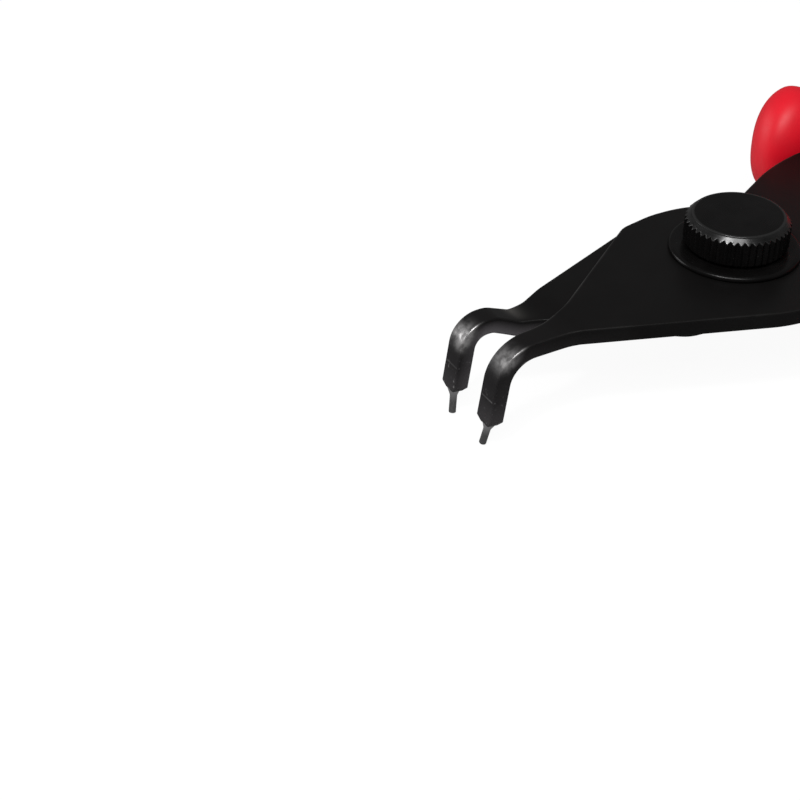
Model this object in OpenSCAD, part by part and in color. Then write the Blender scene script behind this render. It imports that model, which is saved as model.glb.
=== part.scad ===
// Circlip pliers: two crossing plate levers with tips bent down, a knurled thumb screw
// on the pivot, a coiled return spring between the shanks and moulded grips.
// The origin is the centre of the pivot post's flat underside. +X runs from the pivot
// to the handles, +Y to the side of the lower jaw and +Z up the pivot to the thumb screw.

/* [Plates] */
// Thickness of each lever's plate
plate_t = 3; // [2:0.1:4]
// Radius of the hub, which both plates share around the pivot
hub_r = 21.8; // [19:0.1:25]
// Half width of the upper plate at its shoulder, on the handle side of the crossing
upper_shoulder_y = 18.2; // [17:0.1:19]
// Half width of the lower plate there, kept inside the upper plate's edge
lower_shoulder_y = 14.2; // [14:0.1:15]
// Half width of both plates at the waist behind the shoulder
waist_y = 13.7; // [13:0.1:13.9]
// Angle of a jaw's outer edge to the tool's axis
jaw_angle = 20.3; // [18:0.1:22]
// Angle of a jaw's inner edge, where it crosses the tool's axis
crossing_angle = 35.2; // [31:0.1:39]
// Distance from the pivot to where the inner edges cross the axis
crossing_x = 36.3; // [34:0.1:38]

/* [Jaws] */
// Distance from the pivot to the axis of the tip pins
jaw_reach = 55.3; // [52:0.1:64]
// Distance between the two tip pins at rest
pin_spacing = 11.7; // [10.5:0.1:13]
// Width of a jaw where it bends down
arm_w = 4; // [3.6:0.1:4.4]
// Inside radius of the lower jaw's bend above its tip
lower_bend_r = 2.6; // [2:0.1:3]
// Inside radius of the upper jaw's bend above its tip
upper_bend_r = 5; // [4:0.1:5.4]
// Depth of the bent shanks below the plane between the plates
shank_drop = 12.4; // [10:0.1:16]
// Lean of the bent shanks, forward from plumb
shank_lean = 9; // [0:0.5:11]
// Dip of the lower jaw, which lets the upper jaw pass over it
dip = 0.65; // [0.5:0.05:0.8]
// Distance from the tip pins back to the start of that dip
dip_back = 20.3; // [19.5:0.1:21]
// Length of the way down into it
dip_len = 4; // [3.5:0.1:4.5]
// Rise of the lower jaw over its plate beyond that dip
step_rise = 1.3; // [0.8:0.1:1.5]
// Distance from the tip pins back to the foot of that rise
step_back = 11.5; // [11.2:0.1:12]
// Length of that rise
step_len = 4.8; // [4.4:0.1:4.9]
// Fall of the upper jaw towards the lower one
droop = 0.35; // [0.2:0.05:0.5]
// Distance from the tip pins back to the start of that fall
droop_back = 16.3; // [15.5:0.1:17]
// Length of that fall
droop_len = 4; // [3.5:0.1:4.5]
// Height of the bevels round the shanks' feet
bevel_h = 1; // [0.7:0.1:1.4]
// Depth of the bevels at the front and the back of a foot
bevel_x = 0.45; // [0.3:0.05:0.5]
// Depth of the bevels at the sides of a foot
bevel_y = 0.8; // [0.4:0.05:0.9]

/* [Tip pins] */
// Diameter of the working end, which enters the ring's eye
pin_d = 1.3; // [0.9:0.05:1.8]
// Length of the working end
pin_len = 3.2; // [2:0.1:5]
// Diameter of the seat of the flared base
pin_base_d = 2.4; // [2.1:0.05:2.8]
// Height of the flared base
pin_base_h = 1.4; // [0.8:0.1:2]
// Diameter of the root, which is pressed into the shank
pin_root_d = 1.6; // [1.4:0.05:1.7]
// Length of that root
pin_root_len = 3.6; // [3:0.1:4]
// Lean of the pins towards each other
pin_lean = 9; // [0:0.5:10]

/* [Pivot] */
// Diameter of the post that both levers turn on
post_d = 10; // [8:0.1:12]
// Diameter of the post's flange below the plates
flange_d = 18; // [15:0.1:22]
// Thickness of that flange
flange_t = 2; // [1.6:0.1:3]
// Diameter of the washer under the thumb screw
washer_d = 24; // [22:0.1:28]
// Thickness of that washer
washer_t = 1; // [0.8:0.1:1.5]
// Diameter of the thumb screw's knurled head
head_d = 19; // [17:0.1:21]
// Height of that head above its neck
head_h = 5.7; // [4.5:0.1:7]
// Chamfer round the top of the head
head_chamfer = 1.2; // [0.8:0.1:1.6]
// Height of the plain neck below the knurl
neck_h = 0.5; // [0.3:0.1:1]
// Diameter of that neck
neck_d = 16.8; // [15:0.1:16.9]
// Number of knurl teeth round the head
knurl_count = 46; // [36:1:56]
// Depth of the knurl
knurl_depth = 0.45; // [0.3:0.05:0.6]
// Diameter of the screw's stud
stud_d = 6; // [5:0.1:6.5]

/* [Handles] */
// Distance from the pivot to the ends of the handle shanks
handle_reach = 139; // [120:1:150]
// Width of a handle shank
shank_w = 12; // [10:0.1:13]
// Angle of a handle shank to the tool's axis at rest
handle_angle = 8.5; // [7.5:0.1:9.5]
// Angle of the flare that leads from the waist to the handle
flare_angle = 28; // [26:0.5:30]
// Distance from the pivot to the start of the flare
flare_x = 10.8; // [10.5:0.1:11.5]
// Distance from the pivot to the elbow between flare and handle
elbow_x = 27.8; // [27:0.1:28.5]
// Radius of that elbow
elbow_r = 45; // [35:1:50]

/* [Grips] */
// Distance from the pivot to the front of a grip's finger guard
guard_x = 29.3; // [28:0.1:30]
// Distance from the pivot to the crown of the finger guard
guard_crown_x = 38.7; // [37:0.1:40]
// How far the finger guard stands out from the shank
guard_out = 13.5; // [11:0.1:15]
// How far the middle of the finger guard's nose stands out from the shank
guard_mid = 5.5; // [4:0.1:6]
// Length over which the finger guard runs out behind its crown
guard_len = 18; // [14:1:24]
// Distance from the pivot to the collar, where the grip closes round the shank
collar_x = 45; // [44:0.1:47]
// Thickness of the grip beside the shank
grip_wall = 3.8; // [3:0.1:5]
// How far the palm swell stands out further than that
grip_swell = 2.2; // [1:0.1:3]
// Full height of the grip
grip_h = 13.6; // [11:0.1:16]
// How far the finger guard stands above and below that
guard_rise = 5; // [2:0.1:6]
// Thickness of the closed end of the grip
grip_end_t = 4; // [3:0.1:6]

/* [Spring] */
// Diameter of the spring's wire
wire_d = 1.4; // [1.2:0.05:1.6]
// Mean diameter of the spring's coil
coil_d = 9; // [8:0.1:10]
// Whole turns of the coil
coil_turns = 4; // [3:1:4]
// Distance from the pivot to the holes for the spring's legs
leg_x = 35.2; // [34.5:0.1:36]
// Distance from a handle's outer edge to those holes
leg_inset = 7.3; // [6.9:0.1:7.7]

/* [Hidden] */

// Clearances
run_gap = 0.05;
press_gap = 0.01;
seat_gap = 0.1;
loose_gap = 0.3;

// Steps of the curves
arc_step = 5;
round_fn = 96;

// Heights: both plates meet at mid_z
mid_z = flange_t + plate_t;
shank_z = mid_z - shank_drop;
post_top_z = mid_z + plate_t + seat_gap;
washer_top_z = post_top_z + washer_t;
head_z = washer_top_z + neck_h;
stud_z = flange_t / 2 + loose_gap;

// Jaws
pin_y = pin_spacing / 2;
arm_in_y = pin_y - arm_w / 2;
arm_out_y = pin_y + arm_w / 2;
blank_margin = 8;
crotch_r = 24;
jaw_root_r = 12;
corner_r = 6;
shoulder_x = -3;
shoulder_r = 20;
shoulder_rise = 1.8;
step_r = 4;
droop_r = 12;
dip_r = 12;
bevel_cut = 1;

// Handles, on the far side of the axis
elbow_y = waist_y + (elbow_x - flare_x) * tan(flare_angle);
shank_dy = shank_w / cos(handle_angle);
elbow_tangent = elbow_r * tan((flare_angle - handle_angle) / 2);
elbow_c = [elbow_x - elbow_tangent * cos(flare_angle) + elbow_r * sin(flare_angle),
           elbow_y - elbow_tangent * sin(flare_angle) - elbow_r * cos(flare_angle)];
throat = [elbow_x, elbow_y - shank_dy];
throat_angle = hub_tangent_angle(throat);
throat_r = 5;
end_r = 3;
flare_r = 10;

// Spring
wire_r = wire_d / 2;
coil_r = coil_d / 2;
coil_x = (hub_r + coil_r + wire_r + loose_gap) / cos(throat_angle);
leg_y = handle_edge(leg_x) - leg_inset;
leg_z = plate_t + wire_r + 2 * seat_gap;
leg_hole_r = wire_r + loose_gap + 2 * seat_gap;
hook_len = plate_t - 3 * loose_gap;
wire_sides = 8;
coil_steps = 18;

// Grips
grip_sides = 28;
grip_rings = 44;
ring_crowding = 1.5;
squareness = 0.85;
nose_power = 2;
nose_cut = 0.2;
guard_lip = 0.6;
pocket_steps = 12;
end_share = 0.15;
swell_x = guard_crown_x + guard_len / 2;
grip_end_x = handle_reach + grip_end_t;

function unit(v) = v / norm(v);

// The arc of radius q.z that rounds the corner q between the points p and s
function corner_arc(p, q, s) =
    q.z == 0 ? [[q.x, q.y]] :
    let (c = [q.x, q.y], u = unit([p.x, p.y] - c), v = unit([s.x, s.y] - c),
         half = acos(u * v) / 2, m = c + unit(u + v) * q.z / sin(half),
         from = c + u * q.z / tan(half) - m, to = c + v * q.z / tan(half) - m,
         a = atan2(from.y, from.x), turn = (atan2(to.y, to.x) - a + 540) % 360 - 180,
         n = ceil(abs(turn) / arc_step))
    [for (i = [0:n]) m + q.z * [cos(a + turn * i / n), sin(a + turn * i / n)]];

// An outline from corners [x, y, radius]
function rounded(corners) =
    let (n = len(corners))
    [for (i = [0:n - 1]) each corner_arc(corners[(i + n - 1) % n], corners[i], corners[(i + 1) % n])];

// Where the tangents to the hub at the angles a and b meet
function hub_tangents_meet(a, b) =
    hub_r / cos((b - a) / 2) * [cos((a + b) / 2), sin((a + b) / 2)];

// The angle on the hub at which the tangent from the point p touches it, on its -Y side
function hub_tangent_angle(p) = atan2(p.y, p.x) - acos(hub_r / norm(p));

// The outer edge of the far handle's shank at x
function handle_edge(x) =
    x > elbow_c.x - elbow_r * sin(handle_angle) ? elbow_y + (x - elbow_x) * tan(handle_angle) :
    x > elbow_c.x - elbow_r * sin(flare_angle) ? elbow_c.y + sqrt(pow(elbow_r, 2) - pow(x - elbow_c.x, 2)) :
    elbow_y + (x - elbow_x) * tan(flare_angle);

// The blank of the lever with its jaw at -Y and its handle at +Y, seen from above
module lever_blank(shoulder_y) {
    corner_y = shoulder_y - shoulder_rise;
    hub = hub_tangents_meet(-90 - jaw_angle, throat_angle);
    jaw_root_x = hub.x + (arm_out_y + hub.y) / tan(jaw_angle);
    crotch_x = -crossing_x - arm_in_y / tan(crossing_angle);
    end = [handle_reach, handle_edge(handle_reach)];
    tip_x = -jaw_reach - blank_margin;
    polygon(rounded([
        [tip_x, -arm_out_y, 0],
        [jaw_root_x, -arm_out_y, jaw_root_r],
        [hub.x, hub.y, hub_r],
        [throat.x, throat.y, throat_r],
        [end.x, end.y - shank_dy, end_r],
        [end.x, end.y, end_r],
        [elbow_x, elbow_y, elbow_r],
        [flare_x, waist_y, flare_r],
        [shoulder_x, shoulder_y, shoulder_r],
        [-crossing_x + corner_y / tan(crossing_angle), corner_y, corner_r],
        [crotch_x, -arm_in_y, crotch_r],
        [tip_x, -arm_in_y, 0]
    ]));
}

// The side view of a bent lever from plate_z up, whose jaw passes the points [x, rise, radius] of joggle
module lever_profile(plate_z, joggle, bend_r) {
    back_x = handle_reach + blank_margin;
    last = len(joggle) - 1;
    low = plate_z + joggle[last].y;
    foot = [-jaw_reach, shank_z];
    forward = [-cos(shank_lean), sin(shank_lean)];
    up = [sin(shank_lean), cos(shank_lean)];
    front = foot + forward * plate_t / 2;
    rear = foot - forward * plate_t / 2;
    corners = [front + up * bevel_h, front - forward * bevel_x, rear + forward * bevel_x, rear + up * bevel_h];
    polygon(rounded([
        [back_x, plate_z, 0],
        [back_x, plate_z + plate_t, 0],
        for (j = joggle) [j.x, plate_z + plate_t + j.y, j.z],
        [front.x + (low + plate_t - front.y) * tan(shank_lean), low + plate_t, bend_r + plate_t],
        for (c = corners) [c.x, c.y, 0],
        [rear.x + (low - rear.y) * tan(shank_lean), low, bend_r],
        for (i = [last:-1:0]) [joggle[i].x, plate_z + joggle[i].y, joggle[i].z]
    ]));
}

// Places its children at the foot of the near shank, leaning as the shank leans
module at_foot() {
    translate([-jaw_reach, -pin_y, shank_z]) rotate([0, shank_lean, 0]) children();
}

// What the two side bevels take off the near shank's foot
module side_bevels() {
    out = arm_w / 2 + bevel_cut;
    run = bevel_y / bevel_h;
    at_foot() rotate([90, 0, 90]) linear_extrude(2 * plate_t, center = true)
        for (side = [-1, 1]) polygon([
            [side * (arm_w / 2 - bevel_y - bevel_cut * run), -bevel_cut],
            [side * out, bevel_h + bevel_cut / run],
            [side * out, -bevel_cut]
        ]);
}

// The bores of a lever: for the pivot, the spring's leg, the pin's root and its seat
module lever_bores(bore_r) {
    cylinder(h = 2 * mid_z, r = bore_r, $fn = round_fn);
    translate([leg_x, leg_y, 0]) cylinder(h = 2 * mid_z, r = leg_hole_r, $fn = round_fn);
    at_foot() rotate([pin_lean, 0, 0]) {
        translate([0, 0, -pin_base_h])
            cylinder(h = pin_base_h + pin_root_len + press_gap, d = pin_root_d + 2 * press_gap, $fn = round_fn);
        translate([0, 0, -pin_base_h]) cylinder(h = pin_base_h, d = arm_w, $fn = round_fn);
    }
}

// The upper lever: its blank cut from plate and bent to its side view, with its bores
module upper_lever() {
    start_x = droop_back - jaw_reach;
    joggle = [[start_x, 0, droop_r], [start_x - droop_len, -droop, droop_r]];
    color("#1b1b1c") difference() {
        intersection() {
            translate([0, 0, -2 * shank_drop]) linear_extrude(4 * shank_drop) lever_blank(upper_shoulder_y);
            rotate([90, 0, 0]) linear_extrude(4 * hub_r, center = true)
                lever_profile(mid_z, joggle, upper_bend_r);
        }
        lever_bores(post_d / 2 + run_gap);
        side_bevels();
    }
}

// The lower lever: the same the other way round, with a dip and a rise in its jaw
module lower_lever() {
    dip_x = dip_back - jaw_reach;
    step_x = step_back - jaw_reach;
    joggle = [[dip_x, 0, dip_r], [dip_x - dip_len, -dip, dip_r],
              [step_x, -dip, step_r], [step_x - step_len, step_rise, step_r]];
    color("#1b1b1c") mirror([0, 1, 0]) difference() {
        intersection() {
            translate([0, 0, -2 * shank_drop]) linear_extrude(4 * shank_drop) lever_blank(lower_shoulder_y);
            rotate([90, 0, 0]) linear_extrude(4 * hub_r, center = true)
                lever_profile(mid_z - plate_t, joggle, lower_bend_r);
        }
        lever_bores(post_d / 2 + press_gap);
        side_bevels();
    }
}

// A hardened pin turned with a root, a flared base and a straight working end
module tip_pin() {
    edge = pin_d / 8;
    tip_z = -pin_base_h - pin_len;
    color("#5c5c60") at_foot() rotate([pin_lean, 0, 0]) rotate_extrude($fn = round_fn) polygon([
            [0, pin_root_len], [pin_root_d / 2, pin_root_len], [pin_root_d / 2, 0], [pin_base_d / 2, 0],
            [pin_d / 2, -pin_base_h], [pin_d / 2, tip_z + edge], [pin_d / 2 - edge, tip_z], [0, tip_z]
        ]);
}

module far_tip_pin() {
    mirror([0, 1, 0]) tip_pin();
}

module near_tip_pin() {
    tip_pin();
}

// The post: a flange under the plates, a barrel through both and a blind bore for the stud
module pivot_post() {
    edge = 0.4;
    bore_r = stud_d / 2 + run_gap;
    color("#242425") rotate_extrude($fn = round_fn) polygon([
        [0, 0], [flange_d / 2 - edge, 0], [flange_d / 2, edge], [flange_d / 2, flange_t],
        [post_d / 2, flange_t], [post_d / 2, post_top_z], [bore_r, post_top_z],
        [bore_r, flange_t / 2], [0, flange_t / 2]
    ]);
}

// The washer, with its outer edge rolled over
module washer() {
    r = washer_d / 2;
    under = 2 * seat_gap;
    roll = washer_t - under - seat_gap;
    color("#202021") translate([0, 0, post_top_z]) rotate_extrude($fn = round_fn)
        polygon(rounded([
            [stud_d / 2 + loose_gap, 0, 0], [r, 0, under],
            [r, washer_t, roll], [stud_d / 2 + loose_gap, washer_t, 0]
        ]));
}

// The knurl's outline: one point out and one point in for each tooth
module knurl_outline() {
    polygon([for (i = [0:2 * knurl_count - 1])
        let (r = head_d / 2 - (i % 2) * knurl_depth, a = 180 * i / knurl_count)
        r * [cos(a), sin(a)]]);
}

// The thumb screw: a stud, a plain neck and a knurled head with chamfered edges
module thumb_screw() {
    r = head_d / 2;
    foot = 0.5;
    color("#1e1e1f") {
        translate([0, 0, head_z]) intersection() {
            linear_extrude(head_h) knurl_outline();
            rotate_extrude($fn = round_fn) polygon([
                [0, 0], [r - foot, 0], [r + foot, 2 * foot], [r + foot, head_h - head_chamfer - foot],
                [r - head_chamfer, head_h], [0, head_h]
            ]);
        }
        translate([0, 0, washer_top_z]) cylinder(h = neck_h, d = neck_d, $fn = round_fn);
        translate([0, 0, stud_z]) cylinder(h = washer_top_z - stud_z, d = stud_d, $fn = round_fn);
    }
}

// The ring of a round wire at p, square to the direction d, for a path that never runs along up
function wire_ring(p, d, up) =
    let (s = unit(cross(d, up)), t = cross(s, unit(d)))
    [for (k = [0:wire_sides - 1])
        p + wire_r * (cos(360 * k / wire_sides) * s + sin(360 * k / wire_sides) * t)];

// A closed tube of wire along the points of path
module wire(path, up) {
    n = len(path);
    rings = [for (i = [0:n - 1])
        each wire_ring(path[i], path[min(i + 1, n - 1)] - path[max(i - 1, 0)], up(i / (n - 1)))];
    sides = [for (i = [0:n - 2]) for (k = [0:wire_sides - 1])
        let (a = i * wire_sides + k, b = i * wire_sides + (k + 1) % wire_sides)
        each [[a, a + wire_sides, b + wire_sides], [a, b + wire_sides, b]]];
    first = [for (k = [0:wire_sides - 1]) k];
    last = [for (k = [wire_sides - 1:-1:0]) (n - 1) * wire_sides + k];
    polyhedron(rings, concat([first], sides, [last]));
}

// The return spring: a coil behind the hub, with a leg along each plate and its end in the plate
module return_spring() {
    reach = [leg_x - coil_x, leg_y];
    leave = atan2(reach.y, reach.x) + acos(coil_r / norm(reach));
    turn = 360 * coil_turns + 360 - 2 * leave;
    steps = ceil(turn / 360 * coil_steps);
    bend = wire_d;
    part = bend * (1 - sqrt(1 / 2));
    coil = [for (i = [0:steps]) let (a = -leave - turn * i / steps)
        [coil_x + coil_r * cos(a), coil_r * sin(a), leg_z * (2 * i / steps - 1)]];
    out = unit([leg_x, leg_y] - [coil[steps].x, coil[steps].y]);
    upper_leg = [
        [leg_x - out.x * bend, leg_y - out.y * bend, leg_z],
        [leg_x - out.x * part, leg_y - out.y * part, leg_z - part],
        [leg_x, leg_y, leg_z - bend],
        [leg_x, leg_y, leg_z - bend - hook_len]
    ];
    lower_leg = [for (i = [3:-1:0]) [upper_leg[i].x, -upper_leg[i].y, -upper_leg[i].z]];
    side = [-out.y, out.x, 0];
    color("#8c8f94") translate([0, 0, mid_z])
        wire(concat(lower_leg, coil, upper_leg), function(u) [side.x * (2 * u - 1), side.y, 0.5 - abs(u - 0.5)]);
}

// A smooth step from 0 to 1 as x goes from a to b
function ease(x, a, b) = let (u = min(1, max(0, (x - a) / (b - a)))) u * u * (3 - 2 * u);

// The blunt nose of the finger guard at x: 0 at its front and 1 from its crown on
function nose(x) =
    let (u = max(0, (guard_crown_x - x) / (guard_crown_x - guard_x)))
    pow(1 - pow(u, nose_power), 1 / nose_power);

// How far the finger guard has run out at x
function run_out(x) = ease(x, guard_crown_x, guard_crown_x + guard_len);

// The grip's outer side at x: the finger guard, then the wall with its palm swell
function grip_out(x) =
    handle_edge(x) + guard_mid + nose(x) * (guard_out - guard_mid) + (grip_wall - guard_out) * run_out(x)
        + grip_swell * pow(sin(180 * ease(x, swell_x, grip_end_x)), 2);

// The grip's inner side at x: from the nose to a lap over the shank's edge, then across the shank
function grip_in(x) =
    handle_edge(x) + guard_mid - nose(x) * (guard_mid + guard_lip)
        - (shank_dy + grip_wall - guard_lip) * ease(x, guard_crown_x, collar_x);

// Half the grip's height at x: a tall guard, then the even grip
function grip_half(x) = nose(x) * (grip_h / 2 + guard_rise * (1 - run_out(x)));

// The closing of the grip's end at x, from 1 to end_share
function grip_close(x) =
    let (u = max(0, (x - grip_end_x + 2 * grip_end_t) / (2 * grip_end_t))) max(end_share, sqrt(max(0, 1 - u * u)));

// A grip on the far handle, around z = 0: rounded sections along x, with a pocket for the shank
module grip() {
    front_x = guard_x + nose_cut;
    back_x = handle_reach + seat_gap;
    function at(i) = let (t = i / grip_rings)
        front_x + (grip_end_x - front_x) * pow(t, ring_crowding) * (ring_crowding - (ring_crowding - 1) * t);
    function power(v) = sign(v) * pow(abs(v), squareness);
    rings = [for (i = [0:grip_rings]) let (x = at(i), w = grip_close(x),
                mid = (grip_out(x) + grip_in(x)) / 2, half = (grip_out(x) - grip_in(x)) / 2)
        for (k = [0:grip_sides - 1]) let (a = 360 * k / grip_sides)
            [x, mid + half * w * power(cos(a)), grip_half(x) * w * power(sin(a))]];
    sides = [for (i = [0:grip_rings - 1]) for (k = [0:grip_sides - 1])
        let (a = i * grip_sides + k, b = i * grip_sides + (k + 1) % grip_sides)
        each [[a, b, b + grip_sides], [a, b + grip_sides, a + grip_sides]]];
    first = [for (k = [grip_sides - 1:-1:0]) k];
    last = [for (k = [0:grip_sides - 1]) grip_rings * grip_sides + k];
    difference() {
        polyhedron(rings, concat([first], sides, [last]));
        linear_extrude(plate_t + 2 * seat_gap, center = true) polygon([
            for (i = [0:pocket_steps]) let (x = guard_x + (collar_x - guard_x) * i / pocket_steps)
                [x, handle_edge(x) + seat_gap],
            [back_x, handle_edge(back_x) + seat_gap],
            [back_x, handle_edge(back_x) - shank_dy - seat_gap],
            [guard_x, elbow_y + (guard_x - elbow_x) * tan(handle_angle) - shank_dy - seat_gap]
        ]);
    }
}

module upper_grip() {
    color("#c8141e") translate([0, 0, mid_z + plate_t / 2]) grip();
}

module lower_grip() {
    color("#c8141e") translate([0, 0, mid_z - plate_t / 2]) mirror([0, 1, 0]) grip();
}

lower_lever();
upper_lever();
far_tip_pin();
near_tip_pin();
pivot_post();
washer();
thumb_screw();
return_spring();
lower_grip();
upper_grip();
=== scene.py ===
"""Circlip pliers on a white table: bent plate levers, tip pins, pivot, knurled screw, spring and grips.

The file is laid out as an add-on and is run as a script. Shapes are numpy surfaces in millimetres, in the
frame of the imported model, and become metres when they are put into a mesh.
"""

import math

import bpy
import numpy as np
from mathutils import Matrix, Vector


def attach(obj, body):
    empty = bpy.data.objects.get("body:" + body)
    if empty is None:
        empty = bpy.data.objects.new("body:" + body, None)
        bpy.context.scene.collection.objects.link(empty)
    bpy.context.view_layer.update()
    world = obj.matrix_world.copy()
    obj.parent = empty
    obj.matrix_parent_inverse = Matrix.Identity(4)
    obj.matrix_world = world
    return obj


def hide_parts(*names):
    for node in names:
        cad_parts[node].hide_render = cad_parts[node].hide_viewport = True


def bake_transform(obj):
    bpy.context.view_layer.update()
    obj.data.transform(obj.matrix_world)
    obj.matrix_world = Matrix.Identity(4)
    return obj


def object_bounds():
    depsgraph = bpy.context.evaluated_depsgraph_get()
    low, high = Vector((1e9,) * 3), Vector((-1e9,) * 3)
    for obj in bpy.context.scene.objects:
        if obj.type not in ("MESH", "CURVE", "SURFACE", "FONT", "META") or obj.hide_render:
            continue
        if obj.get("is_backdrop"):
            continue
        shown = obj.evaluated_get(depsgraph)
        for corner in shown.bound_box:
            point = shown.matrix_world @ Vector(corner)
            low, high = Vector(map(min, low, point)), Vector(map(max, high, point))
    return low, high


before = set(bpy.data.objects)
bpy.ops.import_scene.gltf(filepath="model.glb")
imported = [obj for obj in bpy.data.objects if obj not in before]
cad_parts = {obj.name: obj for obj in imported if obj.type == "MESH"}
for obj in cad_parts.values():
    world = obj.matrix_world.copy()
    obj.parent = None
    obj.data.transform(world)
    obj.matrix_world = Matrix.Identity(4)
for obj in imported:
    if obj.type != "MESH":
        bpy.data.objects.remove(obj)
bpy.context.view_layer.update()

bl_info = {
    "name": "Circlip Pliers",
    "version": (1, 0, 0),
    "blender": (4, 5, 0),
    "location": "View3D > Sidebar > Pliers",
    "description": "Dresses the packed circlip pliers with surfaces, finishes, light and a camera",
    "category": "Object",
}

MM = 0.001

# Sizes of the tool in millimetres, as in its solids
PLATE_T = 3.0
FLANGE_T = 2.0
MID_Z = FLANGE_T + PLATE_T
HUB_R = 21.8
JAW_ANGLE = 20.3
CROSSING_ANGLE = 35.2
CROSSING_X = 36.3
SHOULDER_Y = {"upper": 18.2, "lower": 14.2}
SHOULDER_X = -3.0
SHOULDER_RISE = 1.8
WAIST_Y = 13.7
FLARE_X = 10.8
FLARE_ANGLE = 28.0
ELBOW_X = 27.8
ELBOW_R = 45.0
JAW_ROOT_R = 12.0
THROAT_R = 5.0
CROSSING_R = 24.0
CORNER_R = 6.0
SHOULDER_R = 20.0
WAIST_R = 10.0
HANDLE_ANGLE = 8.5
HANDLE_REACH = 139.0
SHANK_W = 12.0
JAW_REACH = 55.3
PIN_Y = 5.85
ARM_W = 4.0
SHANK_FOOT_Z = MID_Z - 12.4
SHANK_LEAN = 9.0
BEND_R = {"upper": 5.0, "lower": 2.6}
DROOP = 0.35
DIP = 0.65
RISE = 1.3
DROOP_R = 12.0
RISE_R = 4.0
# Corners of the jaws' side view: x, height from the plate's own level and radius
JOGGLE = {
    "upper": [(16.3 - JAW_REACH, 0.0, DROOP_R), (12.3 - JAW_REACH, -DROOP, DROOP_R)],
    "lower": [
        (20.3 - JAW_REACH, 0.0, DROOP_R), (16.3 - JAW_REACH, -DIP, DROOP_R),
        (11.5 - JAW_REACH, -DIP, RISE_R), (6.7 - JAW_REACH, RISE, RISE_R),
    ],
}
BEVEL_H = 1.0
BEVEL_X = 0.45
BEVEL_Y = 0.8
PIN_R = 0.65
PIN_BASE_R = 1.2
PIN_ROOT_R = 0.8
PIN_LEAN = 9.0
PIN_LENGTH = 4.6
PIN_FLARE_H = 1.4
PIN_ROOT_H = 3.6
PIN_END_R = 0.16
FLANGE_R = 9.0
POST_R = 5.0
BORE_R = 3.05
POST_TOP_Z = MID_Z + PLATE_T + 0.1
WASHER_T = 1.0
WASHER_R = 12.0
HEAD_R = 9.5
HEAD_H = 5.7
HEAD_CHAMFER = 1.2
HEAD_FOOT = 0.5
NECK_H = 0.5
NECK_R = 8.4
STUD_R = 3.0
GUARD_X = 29.3
GUARD_CROWN_X = 38.7
GUARD_OUT = 13.5
GUARD_MID = 5.5
GUARD_LIP = 0.6
GUARD_LEN = 18.0
COLLAR_X = 45.0
GRIP_WALL = 3.8
GRIP_SWELL = 2.2
GRIP_H = 13.6
GUARD_RISE = 5.0
GRIP_END_X = HANDLE_REACH + 4.0
GRIP_END_L = 8.0
# The smooth grip lies this much inside the flat facets of its solid
SKIN_IN = 0.07
SEAT_GAP = 0.1
WIRE_R = 0.7
COIL_R = 4.5
COIL_TURNS = 4
LEG_X = 35.2
LEG_INSET = 7.3
HOOK_R = 1.4
LEG_Z = PLATE_T + WIRE_R + 2 * SEAT_GAP

ELBOW_Y = WAIST_Y + (ELBOW_X - FLARE_X) * math.tan(math.radians(FLARE_ANGLE))
SHANK_DY = SHANK_W / math.cos(math.radians(HANDLE_ANGLE))

# Colours mixed into the black finish. The side grey is painted light; the edge and dip greys are painted
# highlights.
# Bare steel is wear on chips, the scribed line and the bends, where it also carries a painted highlight.
BARE_STEEL_AND_HIGHLIGHT = (0.45, 0.44, 0.44)
SIDE_LIGHT_GREY = (0.055, 0.051, 0.055)
FOOT_GREY = (0.06, 0.055, 0.058)
DIP_HIGHLIGHT_GREY = (0.06, 0.058, 0.054)
EDGE_HIGHLIGHT_GREY = (0.035, 0.034, 0.034)
CHAMFER_GREY = (0.037, 0.037, 0.037)
PIT_GREY = (0.04, 0.04, 0.04)


# ---------------------------------------------------------------- surfaces


def rounded(corners, step=2.0):
    """A polyline through corners (x, y, radius): each corner becomes the arc tangent to both of its
    sides."""
    c = np.asarray(corners, float)
    parts = [c[:1, :2]]
    for p, q, s in zip(c[:-2], c[1:-1], c[2:]):
        u = (p - q)[:2] / np.hypot(*(p - q)[:2])
        v = (s - q)[:2] / np.hypot(*(s - q)[:2])
        half = np.arccos(np.clip(u @ v, -1, 1)) / 2
        m = q[:2] + (u + v) / np.hypot(*(u + v)) * q[2] / np.sin(half)
        a = q[:2] + u * q[2] / np.tan(half) - m
        b = q[:2] + v * q[2] / np.tan(half) - m
        first = np.arctan2(a[1], a[0])
        turn = (np.arctan2(b[1], b[0]) - first + 3 * np.pi) % (2 * np.pi) - np.pi
        t = first + turn * np.linspace(0, 1, int(np.ceil(abs(np.degrees(turn)) / step)) + 2)
        parts.append(m + q[2] * np.stack([np.cos(t), np.sin(t)], 1))
    parts.append(c[-1:, :2])
    return np.concatenate(parts)


def ease(x, a, b):
    """The smooth step 3u^2 - 2u^3 of u, which goes from 0 at a to 1 at b."""
    u = np.clip((x - a) / (b - a), 0, 1)
    return u * u * (3 - 2 * u)


def skin(rows, closed_rows=False, flip=False):
    """Vertices and faces of a grid of closed rings: quads between rings, a pole at each end unless the
    rings close."""
    n, m, _ = rows.shape
    points = rows.reshape(-1, 3)
    i, k = np.meshgrid(np.arange(n if closed_rows else n - 1), np.arange(m), indexing="ij")
    i2, k2 = (i + 1) % n, (k + 1) % m
    quads = np.stack([i * m + k, i * m + k2, i2 * m + k2, i2 * m + k], -1).reshape(-1, 4)
    faces = (quads[:, ::-1] if flip else quads).tolist()
    if not closed_rows:
        points = np.concatenate([points, rows[:1].mean(1), rows[-1:].mean(1)])
        k = np.arange(m)
        k2 = (k + 1) % m
        first = np.stack([np.full(m, n * m), k2, k], 1)
        last = np.stack([np.full(m, n * m + 1), (n - 1) * m + k, (n - 1) * m + k2], 1)
        faces += (np.concatenate([first, last])[:, ::-1 if flip else 1]).tolist()
    return points, faces


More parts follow.
